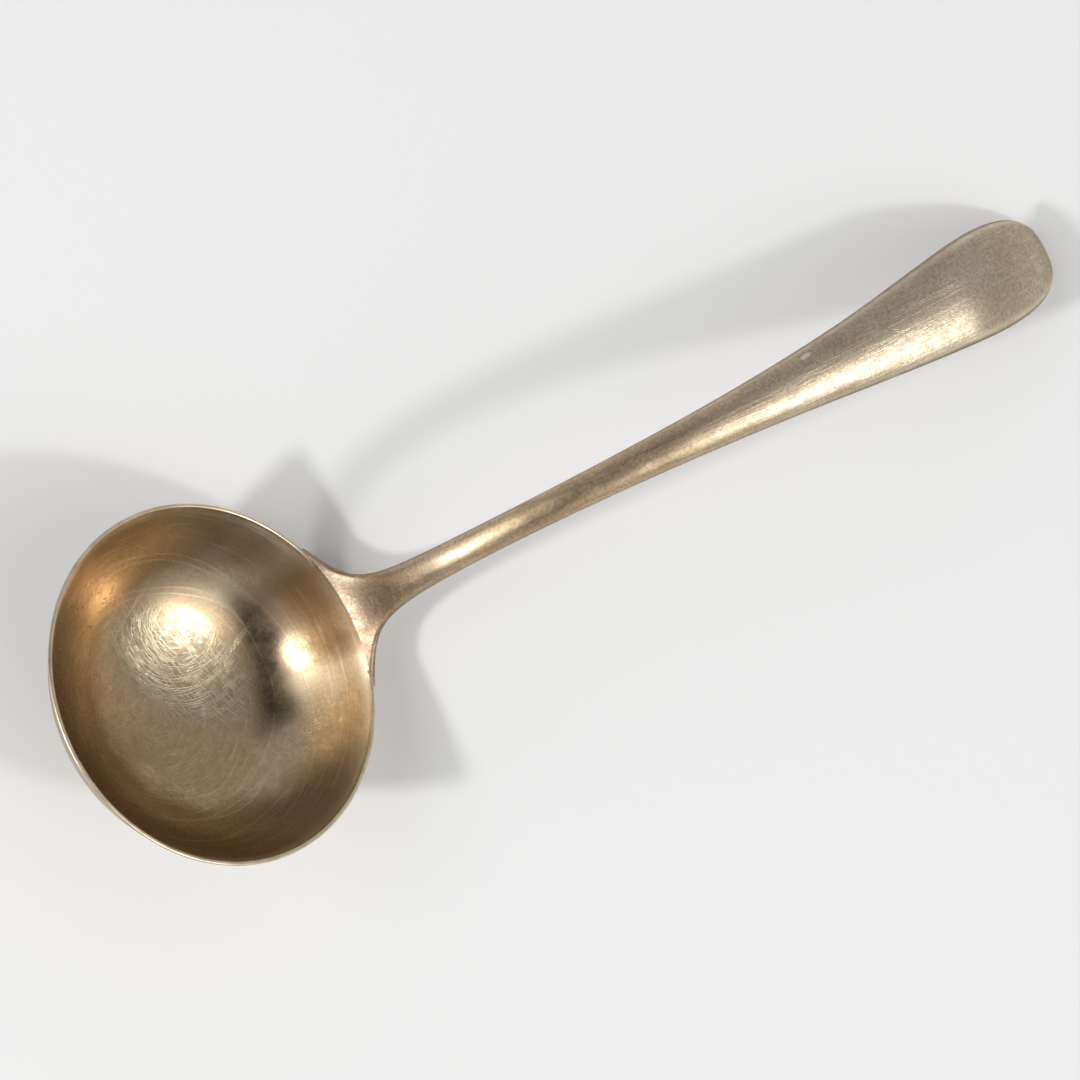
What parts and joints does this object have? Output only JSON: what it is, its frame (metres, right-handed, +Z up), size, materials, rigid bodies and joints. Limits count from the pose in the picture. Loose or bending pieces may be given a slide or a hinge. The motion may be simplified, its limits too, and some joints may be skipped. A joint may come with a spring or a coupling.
{
  "type": "sauce ladle",
  "caption": "Small serving ladle: round raised bowl with a flared wall and thin lip, arched forged stem widening to a flat rounded end that turns down.",
  "frame": {"origin": "middle of the overall length and width, at the height of the table that the ladle lies on", "axes": "+X from the bowl to the tip of the stem, +Z up from the table, +Y to the left of +X"},
  "size_m": [0.1732, 0.0584, 0.041],
  "materials": {
    "bowl_metal": "worn plate over warm nickel-silver, satin with fine round polishing scratches",
    "stem_metal": "worn warm nickel-silver, satin, handled smooth",
    "hard_solder": "dressed hard solder, slightly greyer than the metal"
  },
  "bodies": {
    "root": {"bowl": "bowl_metal", "stem": "stem_metal", "solder_seam": "hard_solder"}
  },
  "joints": []
}
